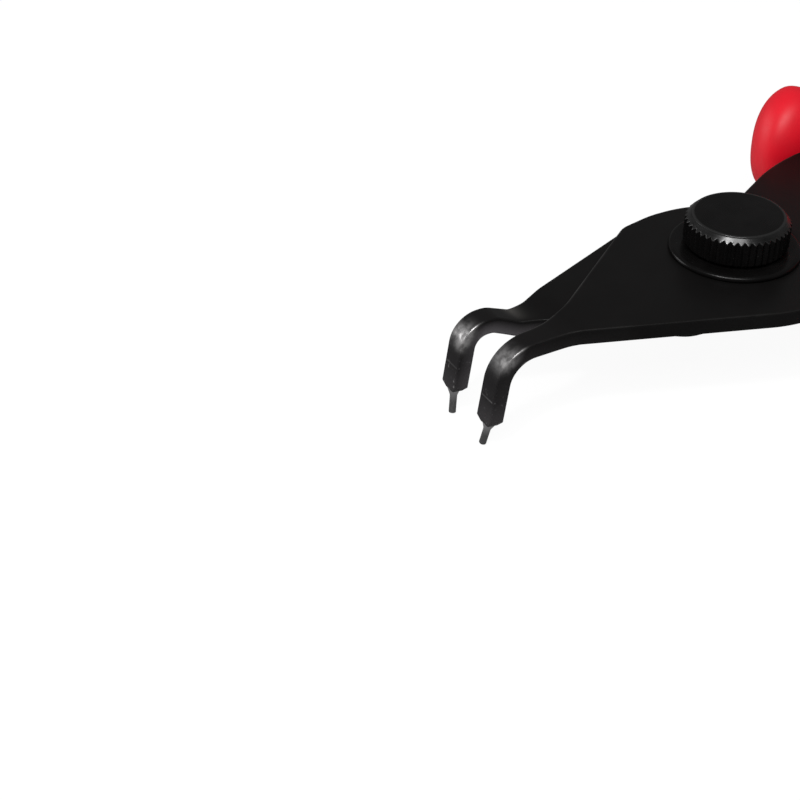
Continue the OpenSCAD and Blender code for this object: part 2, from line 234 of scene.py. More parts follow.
def revolve(profile, count, phase=0.0):
    """Rings of a profile of (radius, height) rows turned about Z, one ring for each row."""
    a = phase + np.linspace(0, 2 * np.pi, count, endpoint=False)
    r, z = np.asarray(profile, float).T
    return np.stack([r[:, None] * np.cos(a), r[:, None] * np.sin(a), np.repeat(z[:, None], count, 1)], -1)


def put(name, points, faces, body, node, material, attributes=None):
    """Makes the piece from points in millimetres, shades it smooth, gives it its material and attributes,
    ties it to its body and hides the CAD node that it replaces."""
    mesh = bpy.data.meshes.new(name)
    mesh.from_pydata((points * MM).tolist(), [], faces)
    mesh.polygons.foreach_set("use_smooth", np.ones(len(mesh.polygons), bool))
    for key, values in (attributes or {}).items():
        layer = mesh.attributes.new(key, "FLOAT", "POINT")
        layer.data.foreach_set("value", np.asarray(values, np.float32))
    mesh.validate()
    mesh.materials.append(material)
    piece = bpy.data.objects.new(name, mesh)
    bpy.context.scene.collection.objects.link(piece)
    if body is not None:
        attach(piece, body)
    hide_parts(node)
    return piece


# ---------------------------------------------------------------- the tool's shapes


def handle_edge(x):
    """The outer edge of the far handle: the flare's line, the elbow's arc and the handle's line."""
    flare, handle = math.radians(FLARE_ANGLE), math.radians(HANDLE_ANGLE)
    tangent = ELBOW_R * math.tan((flare - handle) / 2)
    cx = ELBOW_X - tangent * math.cos(flare) + ELBOW_R * math.sin(flare)
    cy = ELBOW_Y - tangent * math.sin(flare) - ELBOW_R * math.cos(flare)
    arc = cy + np.sqrt(np.maximum(0, ELBOW_R**2 - (x - cx) ** 2))
    line = ELBOW_Y + (x - ELBOW_X) * np.where(x > ELBOW_X, math.tan(handle), math.tan(flare))
    on_arc = (x > cx - ELBOW_R * math.sin(flare)) & (x <= cx - ELBOW_R * math.sin(handle))
    return np.where(on_arc, arc, line)


def throat_angle():
    """The angle on the hub where the line to the throat between hub and handle touches it, and the
    throat's place."""
    x, y = ELBOW_X, ELBOW_Y - SHANK_DY
    return math.atan2(y, x) - math.acos(HUB_R / math.hypot(x, y)), (x, y)


def lever_edges(which):
    """The two long edges of a lever's blank, jaw at -Y and handle at +Y, as rounded polylines that run
    along +X."""
    a, throat = throat_angle()
    b = math.radians(-90 - JAW_ANGLE)
    reach = HUB_R / math.cos((a - b) / 2)
    hub = (reach * math.cos((a + b) / 2), reach * math.sin((a + b) / 2))
    out_y, in_y = PIN_Y + ARM_W / 2, PIN_Y - ARM_W / 2
    root_x = hub[0] + (out_y + hub[1]) / math.tan(math.radians(JAW_ANGLE))
    slope = math.tan(math.radians(CROSSING_ANGLE))
    corner_y = SHOULDER_Y[which] - SHOULDER_RISE
    end_y = float(handle_edge(np.array(HANDLE_REACH)))
    tip = -JAW_REACH - 12
    low = rounded([
        (tip, -out_y, 0), (root_x, -out_y, JAW_ROOT_R), (*hub, HUB_R), (*throat, THROAT_R),
        (HANDLE_REACH, end_y - SHANK_DY, 0)
    ])
    high = rounded([
        (tip, -in_y, 0), (-CROSSING_X - in_y / slope, -in_y, CROSSING_R),
        (-CROSSING_X + corner_y / slope, corner_y, CORNER_R), (SHOULDER_X, SHOULDER_Y[which], SHOULDER_R),
        (FLARE_X, WAIST_Y, WAIST_R), (ELBOW_X, ELBOW_Y, ELBOW_R), (HANDLE_REACH, end_y, 0)
    ])
    return low, high


def lever_path(which):
    """The middle of a lever's plate in side view, from the handle's end along the joggle and round the
    bend to the foot."""
    z = MID_Z + (0.5 if which == "upper" else -0.5) * PLATE_T
    lean = math.tan(math.radians(SHANK_LEAN))
    low = z + JOGGLE[which][-1][1]
    return rounded([
        (HANDLE_REACH, z, 0), *[(x, z + rise, r) for x, rise, r in JOGGLE[which]],
        (-JAW_REACH + (low - SHANK_FOOT_Z) * lean, low, BEND_R[which] + PLATE_T / 2),
        (-JAW_REACH, SHANK_FOOT_Z, 0)
    ], step=1.0)


def lever_surface(which, edge_r):
    """A lever: its section, a flat bar with rounded edges, carried along the side view's path. The bar's
    two long edges follow the blank's outline, each edge's rounding lies square to it, and the foot is
    bevelled on four sides. Returns the rings and, for each point, its distance from the foot, 1 on the
    rounded edges, 1 on the upper face and its place across the bar from 0 at the outer edge to 1 at the
    inner one."""
    low, high = lever_edges(which)
    path = lever_path(which)
    arc = np.concatenate([[0], np.cumsum(np.hypot(*np.diff(path, axis=0).T))])
    flat = path[:, 0] > JOGGLE[which][0][0]
    xs = np.unique(np.round(np.concatenate([low[:, 0], high[:, 0], np.arange(-46, HANDLE_REACH, 1.5)]), 3))
    xs = xs[(xs > path[flat][-1, 0]) & (xs <= HANDLE_REACH)]
    stations = np.interp(-xs[::-1], -path[flat][:, 0], arc[flat])
    rest = np.arange(arc[flat][-1], arc[-1] - BEVEL_H - 0.12, 0.2)
    foot = arc[-1] - BEVEL_H * np.array([1.08, 1.0, 0.92, 0.6, 0.3, 0.06, 0.02, 0.0])
    bevel = np.array([0.0, 0.025, 0.08, 0.4, 0.7, 0.94, 1.0, 1.08])
    shrink = np.concatenate([np.zeros(len(stations) + len(rest)), bevel])
    s = np.concatenate([stations, rest, foot])
    x, z = np.interp(s, arc, path[:, 0]), np.interp(s, arc, path[:, 1])
    grad = np.gradient(path, arc, axis=0)
    tx, tz = np.interp(s, arc, grad[:, 0]), np.interp(s, arc, grad[:, 1])
    size = np.hypot(tx, tz)
    along = np.stack([tx / size, 0 * x, tz / size], -1)
    up = np.stack([along[:, 2], 0 * x, -along[:, 0]], -1)

    def edge(line, side):
        line_x, line_y = line.T
        y = np.interp(x, line_x, line_y) + side * shrink * BEVEL_Y
        slope = (np.interp(x + 0.05, line_x, line_y) - np.interp(x - 0.05, line_x, line_y)) / 0.1
        length = np.hypot(1, slope)
        # inward square to the outline: back along the path for a rising edge, and across
        return y, side * slope / length, side / length

    q = np.linspace(0, np.pi / 2, 6)
    inset = np.concatenate([[edge_r + 0.25], edge_r - edge_r * np.sin(q), [0.0]])
    below = np.concatenate([[0.0], edge_r - edge_r * np.cos(q), [edge_r + 0.25]])
    mark = np.concatenate([[0.0, 0.3], np.ones(len(q) - 2), [0.3, 0.0]])
    half = PLATE_T / 2 - shrink * BEVEL_X
    rings = []
    for line, side in ((low, 1.0), (high, -1.0)):
        y, back, across = edge(line, side)
        for d, h, turn in ((inset, below, 1), (inset[::-1], below[::-1], -1)):
            offset = (back[:, None] * d)[..., None] * along[:, None] + np.stack(
                [np.zeros((len(x), len(d))), y[:, None] + across[:, None] * d, np.zeros((len(x), len(d)))], -1
            )
            rise = turn * (half[:, None] - h)
            rings.append(offset + rise[..., None] * up[:, None])
    ring = np.concatenate([rings[0], rings[1], rings[3][:, ::-1], rings[2][:, ::-1]], 1)
    ring[..., 0] += x[:, None]
    ring[..., 2] += z[:, None]
    n, one, zero = len(s), np.ones(len(mark)), np.zeros(len(mark))
    rows = {
        "edge": [mark, mark[::-1], mark, mark[::-1]], "face": [one, zero, zero, one],
        "across": [zero, zero, one, one],
    }
    marks = {key: np.repeat(np.concatenate(row)[None], n, 0) for key, row in rows.items()}
    marks["foot_distance"] = np.repeat((arc[-1] - s)[:, None], ring.shape[1], 1)
    return ring, marks


def pin_points(profile, side):
    """A turned pin at the foot of a shank: revolved, then leaned towards the other pin and forward with
    the shank."""
    rings = revolve(profile, 48)
    lean = Matrix.Rotation(math.radians(SHANK_LEAN), 3, "Y") @ Matrix.Rotation(math.radians(PIN_LEAN), 3, "X")
    rings = rings @ np.array(lean).T + [-JAW_REACH, -PIN_Y, SHANK_FOOT_Z]
    return rings * [1, -side, 1]


def knurled_head(count, depth):
    """The thumb screw: stud, neck and head in one turned outline. Round the head the radius falls from
    the crest to the root of each tooth by a rounded triangle wave, and no point passes the cones that
    chamfer the head's two edges. Returns the rings, and 1 for each point on the upper chamfer."""
    base = POST_TOP_Z + WASHER_T
    z0 = base + NECK_H
    z1 = z0 + HEAD_H
    low_rim = z1 - HEAD_CHAMFER
    rows = [
        (STUD_R - 0.4, FLANGE_T / 2 + 0.3), (STUD_R, FLANGE_T / 2 + 0.7), (STUD_R, base + 0.01),
        (NECK_R, base + 0.01), (NECK_R, z0), (NECK_R + 0.05, z0 + 0.01)
    ]
    body = np.concatenate([
        np.linspace(z0 + 0.02, z0 + 1.2, 8), np.linspace(z0 + 1.4, low_rim - 0.25, 5),
        np.linspace(low_rim - 0.12, low_rim + depth + 0.15, 14),
        np.linspace(low_rim + depth + 0.25, z1 - 0.12, 4)
    ])
    a = np.linspace(0, 2 * np.pi, count * 12, endpoint=False)
    wave = np.abs(((a * count / (2 * np.pi)) % 1) * 2 - 1)
    tooth = 0.35 * wave + 0.65 * wave * wave * (3 - 2 * wave)
    wall = HEAD_R - depth * (1 - tooth)
    cone = np.minimum(HEAD_R - HEAD_FOOT + (body - z0), HEAD_R - HEAD_CHAMFER + (z1 - body))
    soft = 0.06
    gap = wall[None] - cone[:, None]
    radius = cone[:, None] + 0.5 * (gap - np.sqrt(gap * gap + soft * soft))
    head = np.stack([radius * np.cos(a), radius * np.sin(a), np.repeat(body[:, None], len(a), 1)], -1)
    t = np.linspace(0.25, np.pi / 2 - 0.02, 5)
    lip_r = 0.17
    lip = np.stack([HEAD_R - HEAD_CHAMFER - 0.12 + lip_r * np.cos(t), z1 - lip_r + lip_r * np.sin(t)], 1)
    top = [(HEAD_R - HEAD_CHAMFER - 0.45, z1), (5.0, z1), (2.0, z1), (0.3, z1)]
    surface = np.concatenate([revolve(rows, len(a)), head, revolve(np.concatenate([lip, top]), len(a))])
    worn = np.zeros(surface.shape[:2])
    high = body[:, None] > z0 + HEAD_H / 2
    worn[len(rows):len(rows) + len(body)] = high * np.clip((gap + 0.08) / 0.16, 0, 1)
    worn[len(rows) + len(body):-len(top)] = 0.7
    return surface, worn


def spring_path():
    """The middle of the spring's wire: a hook, the lower leg, the helix, the upper leg and a hook, with
    the direction from the wire's bend outwards at each point, which lies level and square to the wire all
    the way."""
    angle, _ = throat_angle()
    cx = (HUB_R + COIL_R + WIRE_R + 0.3) / math.cos(angle)
    leg_y = float(handle_edge(np.array(LEG_X))) - LEG_INSET
    reach = (LEG_X - cx, leg_y)
    leave = math.atan2(reach[1], reach[0]) + math.acos(COIL_R / math.hypot(*reach))
    turn = 2 * math.pi * COIL_TURNS + 2 * math.pi - 2 * leave
    u = np.linspace(0, 1, 320)
    a = -leave - turn * u
    coil = np.stack([cx + COIL_R * np.cos(a), COIL_R * np.sin(a), LEG_Z * (2 * u - 1)], 1)
    level = np.stack([np.cos(a), np.sin(a), 0 * a], 1)
    way = np.array([LEG_X, leg_y]) - coil[-1, :2]
    way = way / np.hypot(*way)
    start = coil[-1, :2]
    run = math.hypot(*(np.array([LEG_X, leg_y]) - start)) - HOOK_R
    t = np.linspace(0, 1, 40)[1:, None]
    straight = np.concatenate([start + way * run * t, np.full((39, 1), LEG_Z)], 1)
    q = np.linspace(0, np.pi / 2, 14)[1:, None]
    hook = np.concatenate([start + way * (run + HOOK_R * np.sin(q)), LEG_Z - HOOK_R * (1 - np.cos(q))], 1)
    deep = hook[-1, 2] - np.linspace(0.3, 2.1, 4)[:, None]
    down = np.concatenate([np.repeat(hook[-1:, :2], len(deep), 0), deep], 1)
    upper = np.concatenate([straight, hook, down])
    lower = (upper * [1, -1, -1])[::-1]
    side = np.array([level[-1, 0], level[-1, 1], 0])
    levels = np.concatenate([
        np.repeat([side * [1, -1, 1]], len(lower), 0), level, np.repeat([side], len(upper), 0)
    ])
    return np.concatenate([lower, coil, upper]) + [0, 0, MID_Z], levels


def tube(path, level, radius, count):
    """A round wire: a circle carried along the path, spanned by the level direction and the one square to
    it."""
    along = np.gradient(path, axis=0)
    along /= np.linalg.norm(along, axis=1)[:, None]
    level = level - along * np.sum(level * along, 1)[:, None]
    level /= np.linalg.norm(level, axis=1)[:, None]
    other = np.cross(along, level)
    a = np.linspace(0, 2 * np.pi, count, endpoint=False)
    circle = np.cos(a)[:, None] * level[:, None] + np.sin(a)[:, None] * other[:, None]
    return path[:, None] + radius * circle


def grip_surface(rings, sides):
    """A grip on the far handle about z = 0. A blunt elliptic nose opens into the finger guard, whose
    outer side runs out into the palm swell and whose inner side crosses the shank to the collar. The
    height falls from the tall guard to the even grip, each section is a superellipse, and the rear end
    closes as a quarter ellipse."""
    u = np.linspace(0, 1, rings)
    x = GUARD_X + 0.004 + (GRIP_END_X - GUARD_X - 0.01) * (0.5 - 0.5 * np.cos(np.pi * u)) ** 1.15
    edge = handle_edge(x)
    nose = np.sqrt(1 - np.clip((GUARD_CROWN_X - x) / (GUARD_CROWN_X - GUARD_X), 0, 1) ** 2)
    run_out = ease(x, GUARD_CROWN_X, GUARD_CROWN_X + GUARD_LEN)
    swell = GRIP_SWELL * np.sin(np.pi * ease(x, GUARD_CROWN_X + GUARD_LEN / 2, GRIP_END_X)) ** 2
    guard = GUARD_MID + nose * (GUARD_OUT - GUARD_MID)
    out = edge + guard + (GRIP_WALL - GUARD_OUT) * run_out + swell - SKIN_IN
    inn = edge + GUARD_MID - nose * (GUARD_MID + GUARD_LIP)
    inn = inn - (SHANK_DY + GRIP_WALL - GUARD_LIP) * ease(x, GUARD_CROWN_X, COLLAR_X)
    tall = nose * (GRIP_H / 2 + GUARD_RISE * (1 - run_out) - SKIN_IN)
    close = np.clip((x - GRIP_END_X + GRIP_END_L) / GRIP_END_L, 0, 1)
    close = np.sqrt(np.maximum(0.0004, 1 - close * close))
    a = np.linspace(0, 2 * np.pi, sides, endpoint=False)
    square = 0.85
    c = np.sign(np.cos(a)) * np.abs(np.cos(a)) ** square
    s = np.sign(np.sin(a)) * np.abs(np.sin(a)) ** square
    mid, half = (out + inn) / 2, (out - inn) / 2 * close
    y, z = mid[:, None] + half[:, None] * c, (tall * close)[:, None] * s
    return np.stack([np.repeat(x[:, None], sides, 1), y, z], -1)


# ---------------------------------------------------------------- finishes


class Socket:
    """An output of a node in a material, with Python's arithmetic on values: each operation adds its Math
    node."""

    def __init__(self, board, socket):
        self.board, self.socket = board, socket

    def _math(self, operation, a, b):
        return self.board.add("ShaderNodeMath", {"operation": operation}, {0: a, 1: b})

    def __add__(self, other):
        return self._math("ADD", self, other)

    def __radd__(self, other):
        return self._math("ADD", other, self)

    def __sub__(self, other):
        return self._math("SUBTRACT", self, other)

    def __rsub__(self, other):
        return self._math("SUBTRACT", other, self)

    def __mul__(self, other):
        return self._math("MULTIPLY", self, other)

    def __rmul__(self, other):
        return self._math("MULTIPLY", other, self)

    def __pow__(self, other):
        return self._math("POWER", self, other)


class Board:
    """A material's node tree."""

    def __init__(self, name):
        self.material = bpy.data.materials.new(name)
        self.material.use_nodes = True
        self.tree = self.material.node_tree
        self.tree.nodes.clear()

    def add(self, kind, settings=None, inputs=None, output=0):
        """Adds a node of that type with its settings, sets or links its inputs and returns one output as
        a Socket."""
        node = self.tree.nodes.new(kind)
        for key, value in (settings or {}).items():
            setattr(node, key, value)
        for key, value in (inputs or {}).items():
            if isinstance(value, Socket):
                self.tree.links.new(value.socket, node.inputs[key])
            elif isinstance(value, (tuple, list)) and len(value) == 3 and node.inputs[key].type == "RGBA":
                node.inputs[key].default_value = (*value, 1.0)
            else:
                node.inputs[key].default_value = value
        return Socket(self, node.outputs[output])

    def place(self):
        """Object coordinates in metres."""
        return self.add("ShaderNodeTexCoord", output="Object")

    def noise(self, scale, detail=3.0, rough=0.55, vector=None):
        """A noise value from 0 to 1, scale waves to the metre."""
        return self.add("ShaderNodeTexNoise", {}, {
            "Vector": vector or self.place(), "Scale": scale, "Detail": detail, "Roughness": rough}, "Fac")

    def span(self, value, a, b, low, high):
        """Value from a to b mapped onto low to high, and held outside."""
        return self.add("ShaderNodeMapRange", {"clamp": True}, {
            "Value": value, "From Min": a, "From Max": b, "To Min": low, "To Max": high}, "Result")

    def tint(self, factor, a, b):
        """A colour between a and b."""
        return self.add("ShaderNodeMix", {"data_type": "RGBA"}, {0: factor, 6: a, 7: b}, 2)

    def attribute(self, name):
        """A value that the mesh carries."""
        return self.add("ShaderNodeAttribute", {"attribute_name": name}, {}, "Fac")

    def bump(self, height, strength, distance, normal=None):
        """A Bump node's normal from a height."""
        inputs = {"Height": height, "Strength": strength, "Distance": distance}
        if normal is not None:
            inputs["Normal"] = normal
        return self.add("ShaderNodeBump", {}, inputs, "Normal")

    def surface(self, inputs):
        """Closes the tree with a Principled shader and returns the material."""
        shader = self.add("ShaderNodeBsdfPrincipled", {}, inputs)
        self.add_output(shader)
        return self.material

    def add_output(self, shader):
        node = self.tree.nodes.new("ShaderNodeOutputMaterial")
        self.tree.links.new(shader.socket, node.inputs["Surface"])


def black_plate_finish(look):
    """Satin black oxide on rolled plate: mottled, greyer towards the tips, worn to bare steel with a painted
    highlight over the bends beside the edge nearer the camera, a painted highlight streak along that edge,
    painted highlights along the far edges and in the lower jaw's dip, painted light on the side faces,
    chiefly the lower lever's, a faint line scribed across the front of each shank and small chips near its
    foot."""
    b = Board("black_oxide_plate")
    foot = b.attribute("foot_distance")
    edge = b.attribute("edge")
    beside = b.attribute("beside")
    face = b.attribute("face")
    cloud = b.noise(120.0, 4.0)
    grain = b.noise(2600.0, 2.0)
    near_tip = b.span(foot, 4.0, 12.0, 0.5, 0.12) * b.span(foot, 13.0, 26.0, 1.0, 0.0)
    on_arm = b.span(foot, 9.5, 14.0, 0.35, 1.0) * b.span(foot, 14.0, 36.0, 1.0, 0.0)
    # Painted light: side faces of the arms lighter, chiefly on the lower lever
    side_light = (1.0 - face) * on_arm * b.attribute("side_light_weight")
    # Bends worn to bare steel with a painted highlight, and a painted highlight streak along the camera-side
    # edge
    bend_wear_and_highlight = b.attribute("bend") * face ** 2.0 * b.span(beside, 0.1, 0.75, 0.3, 1.0)
    highlight_streak = b.attribute("highlight_streak") * edge * b.span(beside, 0.9, 1.0, 0.0, 1.0)
    wear_and_highlight = (bend_wear_and_highlight + highlight_streak) * b.span(b.noise(750.0, 4.0), 0.36, 0.6, 0.3, 1.0) * look.wear_and_highlight_strength
    front = b.span(face, 0.97, 0.99, 0.0, 1.0) * (1.0 - edge)
    scribe = b.span(foot, 5.1, 5.25, 0.0, 1.0) * b.span(foot, 5.3, 5.45, 1.0, 0.0)
    scribe = scribe * front * b.span(cloud, 0.4, 0.6, 0.4, 1.0)
    base = b.tint(near_tip * b.span(cloud, 0.3, 0.7, 0.8, 1.0), tuple(look.black), tuple(look.tip_grey))
    base = b.tint(b.span(cloud, 0.4, 0.8, 0.0, 0.3), base, tuple(1.9 * c for c in look.black))
    at_foot = b.span(foot, 1.2, 5.0, 0.25, 0.0) * b.span(cloud, 0.35, 0.65, 0.5, 1.0)
    base = b.tint(at_foot, base, FOOT_GREY)
    # Painted light on the side faces
    base = b.tint(side_light, base, SIDE_LIGHT_GREY)
    # Painted highlight along the rounded edges, strongest on the far edges
    edge_highlight = edge * b.span(beside, 0.2, 0.6, 0.7, 0.12) * b.span(foot, 12.0, 18.0, 0.15, 1.0)
    base = b.tint(edge_highlight * b.span(cloud, 0.35, 0.65, 0.3, 1.0), base, EDGE_HIGHLIGHT_GREY)
    # Painted highlight in the lower jaw's dip
    base = b.tint(b.attribute("dip_highlight") * (face * (1.0 - beside)) ** 0.8 * 0.5, base, DIP_HIGHLIGHT_GREY)
    chips = b.span(b.noise(1300.0, 2.0), 0.66, 0.74, 0.0, 0.16) * b.span(foot, 2.0, 10.0, 1.0, 0.0)
    # Bare steel for chips and the scribed line, and on the bends for wear plus painted highlight
    base = b.tint(wear_and_highlight * 0.75 + scribe * 0.1 + chips, base, BARE_STEEL_AND_HIGHLIGHT)
    rough = b.span(cloud, 0.3, 0.7, 0.30, 0.38) + b.span(grain, 0.3, 0.7, -0.03, 0.03)
    normal = b.bump(grain, 0.05, 0.0001, b.bump(cloud, 0.04, 0.0006))
    return b.surface({
        "Base Color": base, "Roughness": rough, "Metallic": wear_and_highlight * 0.9, "Normal": normal,
        "Specular IOR Level": 0.09})


def black_turned_finish(look):
    """Smooth black oxide on turned pieces, with faint rings from the lathe and a few pits."""
    b = Board("black_oxide_turned")
    place = b.place()
    x, y, z = [b.add("ShaderNodeSeparateXYZ", {}, {0: place}, axis) for axis in "XYZ"]
    radius = (x * x + y * y) ** 0.5
    ring = b.add("ShaderNodeCombineXYZ", {}, {0: radius, 1: 0.0, 2: z * 0.2})
    lathe = b.noise(5200.0, 2.0, 0.6, ring)
    cloud = b.noise(160.0, 3.0)
    pits = b.span(b.noise(1500.0, 1.0), 0.76, 0.84, 0.0, 1.0)
    base = b.tint(b.span(cloud, 0.35, 0.7, 0.0, 1.0), tuple(0.5 * c for c in look.black), tuple(look.black))
    base = b.tint(pits * 0.4, base, PIT_GREY)
    worn = b.attribute("worn") * b.span(cloud, 0.3, 0.6, 0.7, 1.0)
    base = b.tint(worn, base, CHAMFER_GREY)
    rough = b.span(lathe, 0.3, 0.7, 0.22, 0.3) + pits * 0.2
    normal = b.bump(pits, 0.2, 0.0001, b.bump(lathe, 0.05, 0.0001))
    return b.surface({
        "Base Color": base, "Roughness": rough, "Metallic": worn, "Normal": normal,
        "Specular IOR Level": 0.1})


def steel_finish(name, colour, ring_scale, rough_low, rough_high, tip=None):
    """Bare drawn or ground steel, with fine marks and a little staining, and darker towards a tip that it
    may have."""
    b = Board(name)
    marks = b.noise(ring_scale, 3.0, 0.6)
    stain = b.noise(420.0, 3.0)
    base = b.tint(b.span(stain, 0.4, 0.7, 0.0, 0.4), tuple(colour), tuple(0.6 * c for c in colour))
    if tip is not None:
        base = b.tint(b.attribute("to_tip"), base, tuple(tip))
    rough = b.span(marks, 0.3, 0.7, rough_low, rough_high)
    normal = b.bump(marks, 0.06, 0.0001)
    return b.surface({"Base Color": base, "Metallic": 1.0, "Roughness": rough, "Normal": normal})


def red_grip_finish(look):
    """Smooth red moulding with a soft sheen, a fine skin and slightly darker cloudy patches."""
    b = Board("red_moulding")
    cloud = b.noise(70.0, 3.0)
    skin_grain = b.noise(900.0, 1.0)
    deep = tuple(0.8 * c for c in look.red)
    base = b.tint(b.span(cloud, 0.3, 0.7, 0.0, 1.0), tuple(look.red), deep)
    rough = b.span(skin_grain, 0.3, 0.7, 0.46, 0.5)
    normal = b.bump(skin_grain, 0.02, 0.0001, b.bump(cloud, 0.03, 0.001))
    return b.surface({"Base Color": base, "Roughness": rough, "Specular IOR Level": 0.24, "Normal": normal})


def white_stage_finish(name, share, gloss):
    """A pale table that camera rays see as white, apart from the share left to its shadow, and that
    glossy rays see at the lower strength gloss."""
    b = Board(name)
    camera = b.add("ShaderNodeLightPath", output="Is Camera Ray")
    glossy = b.add("ShaderNodeLightPath", output="Is Glossy Ray")
    through = b.add("ShaderNodeLightPath", output="Is Transmission Ray")
    seen = b.add("ShaderNodeMath", {"operation": "MINIMUM"}, {0: (camera + through) * share + glossy, 1: 1.0})
    grain = b.noise(30.0, 2.0)
    colour = b.tint(grain, (0.80, 0.80, 0.80), (0.82, 0.82, 0.82))
    pale = b.add("ShaderNodeBsdfDiffuse", {}, {"Color": colour})
    strength = 1.0 - glossy * (1.0 - gloss)
    glow = b.add("ShaderNodeEmission", {}, {"Color": (1.0, 1.0, 1.0), "Strength": strength})
    b.add_output(b.add("ShaderNodeMixShader", {}, {0: seen, 1: pale, 2: glow}))
    return b.material


# ---------------------------------------------------------------- settings


class PliersLook(bpy.types.PropertyGroup):
    """Sizes and colours of the tool's surfaces."""

    edge_radius: bpy.props.FloatProperty(
        name="Edge rounding", description="Rounding of the levers' stamped edges, in millimetres",
        default=0.22, min=0.05, max=0.6)
    knurl_count: bpy.props.IntProperty(
        name="Knurl teeth", description="Teeth round the thumb screw", default=46, min=20, max=80)
    knurl_depth: bpy.props.FloatProperty(
        name="Knurl depth", description="Depth of the teeth, in millimetres", default=0.45, min=0.1,
        max=0.8)
    # Strength of the bends' wear and of the painted highlights over the bends and along the camera-side edge
    wear_and_highlight_strength: bpy.props.FloatProperty(
        name="Edge wear", description="How far the finish is rubbed off the edges", default=0.75, min=0.0,
        max=1.0, subtype="FACTOR")
    # Places on the bends of the wear with its painted highlight; its length is set below
    upper_wear_and_highlight: bpy.props.FloatProperty(
        name="Upper worn place",
        description="Distance of the worn place on the upper bend from the foot, in millimetres",
        default=12.6)
    lower_wear_and_highlight: bpy.props.FloatProperty(
        name="Lower worn place",
        description="Distance of the worn place on the lower bend from the foot, in millimetres",
        default=10.6)
    # Place of the painted highlight in the lower jaw's dip
    dip_highlight: bpy.props.FloatProperty(
        name="Worn dip",
        description="Distance of the worn dip of the lower jaw from the foot, in millimetres",
        default=21.2)
    wear_and_highlight_length: bpy.props.FloatProperty(
        name="Worn length", description="Length of the worn place along the bend, in millimetres",
        default=1.4, min=0.1)
    black: bpy.props.FloatVectorProperty(
        name="Black", description="Colour of the black finish", default=(0.0028, 0.0026, 0.0026),
        subtype="COLOR", min=0.0, max=1.0)
    tip_grey: bpy.props.FloatVectorProperty(
        name="Tip grey", description="Colour of the finish towards the tips",
        default=(0.0205, 0.0193, 0.0205), subtype="COLOR",
        min=0.0, max=1.0)
    steel: bpy.props.FloatVectorProperty(
        name="Pin steel", description="Colour of the tip pins", default=(0.86, 0.85, 0.86),
        subtype="COLOR", min=0.0, max=1.0)
    pin_tip: bpy.props.FloatVectorProperty(
        name="Pin tip", description="Colour of the tip pins at their ends", default=(0.3, 0.3, 0.3),
        subtype="COLOR", min=0.0, max=1.0)
    wire: bpy.props.FloatVectorProperty(
        name="Spring wire", description="Colour of the spring", default=(0.46, 0.46, 0.47),
        subtype="COLOR", min=0.0, max=1.0)
    red: bpy.props.FloatVectorProperty(
        name="Grip red", description="Colour of the grips", default=(0.475, 0.002, 0.0105),
        subtype="COLOR", min=0.0, max=1.0)


class PliersStage(bpy.types.PropertyGroup):
    """Camera, light and table."""

    azimuth: bpy.props.FloatProperty(
        name="Azimuth", description="The camera's turn about the pivot, in degrees", default=-29.156)
    elevation: bpy.props.FloatProperty(
        name="Elevation", description="The camera's height above the horizon, in degrees", default=35.841)
    lens: bpy.props.FloatProperty(
        name="Lens", description="The camera's focal length on a 36 mm sensor", default=73.81,
        unit="CAMERA")
    reach: bpy.props.FloatVectorProperty(
        name="Reach", description="The pivot's place from the camera: right, up and away, in millimetres",
        default=(60.667, 25.108, 299.5), subtype="XYZ")
    key: bpy.props.FloatProperty(
        name="Overhead light", description="Power of the softbox overhead", default=3.0, min=0.0,
        unit="POWER")
    lamp: bpy.props.FloatProperty(
        name="Small lamp", description="Power of the small lamp that glints on the knurled head",
        default=2.2, min=0.0, unit="POWER")
    rim: bpy.props.FloatProperty(
        name="Back light", description="Power of the strip behind the jaws", default=2.0, min=0.0,
        unit="POWER")
    sky: bpy.props.FloatProperty(
        name="Room light", description="Strength of the even light from all sides", default=0.55, min=0.0)
    sky_gloss: bpy.props.FloatProperty(
        name="Room in reflections", description="Strength of the room as glossy surfaces show it",
        default=0.18, min=0.0)
    table_gloss: bpy.props.FloatProperty(
        name="Table in reflections", description="Strength of the table as glossy surfaces show it",
        default=0.16, min=0.0)


# ---------------------------------------------------------------- operators


class PLIERS_OT_levers(bpy.types.Operator):
    """Make both plate levers, bent at the jaws"""

    bl_idname = "pliers.levers"
    bl_label = "Levers"

    def execute(self, context):
        look = context.scene.pliers_look
        finish = black_plate_finish(look)
        for which in ("upper", "lower"):
            ring, marks = lever_surface(which, look.edge_radius)
            # beside: 0 at the far edge, 1 at the edge nearer the camera, where the bends' painted highlights
            # lie
            marks["beside"] = marks.pop("across") if which == "lower" else 1 - marks.pop("across")
            if which == "lower":
                ring = ring * [1, -1, 1]
            foot, lower = marks["foot_distance"], float(which == "lower")
            # Masks: bends' wear and painted highlight, painted highlight streak, painted dip highlight,
            # painted side light
            place = (foot - (look.lower_wear_and_highlight if lower else look.upper_wear_and_highlight)) / look.wear_and_highlight_length
            marks["bend"] = (0.66 + 0.4 * lower) * np.exp(-place**2)
            marks["highlight_streak"] = np.exp(-((place - 1.2) / 0.6) ** 2)
            marks["dip_highlight"] = lower * np.exp(-(((foot - look.dip_highlight) / 1.7) ** 2))
            marks["side_light_weight"] = np.full_like(foot, 0.08 + 0.82 * lower)
            points, faces = skin(ring, flip=which == "upper")
            attributes = {key: np.append(row.ravel(), [row[0, 0], row[-1, 0]]) for key, row in marks.items()}
            node = f"{which}_lever"
            put(f"{which}_lever_plate", points, faces, node, node, finish, attributes)
        return {"FINISHED"}


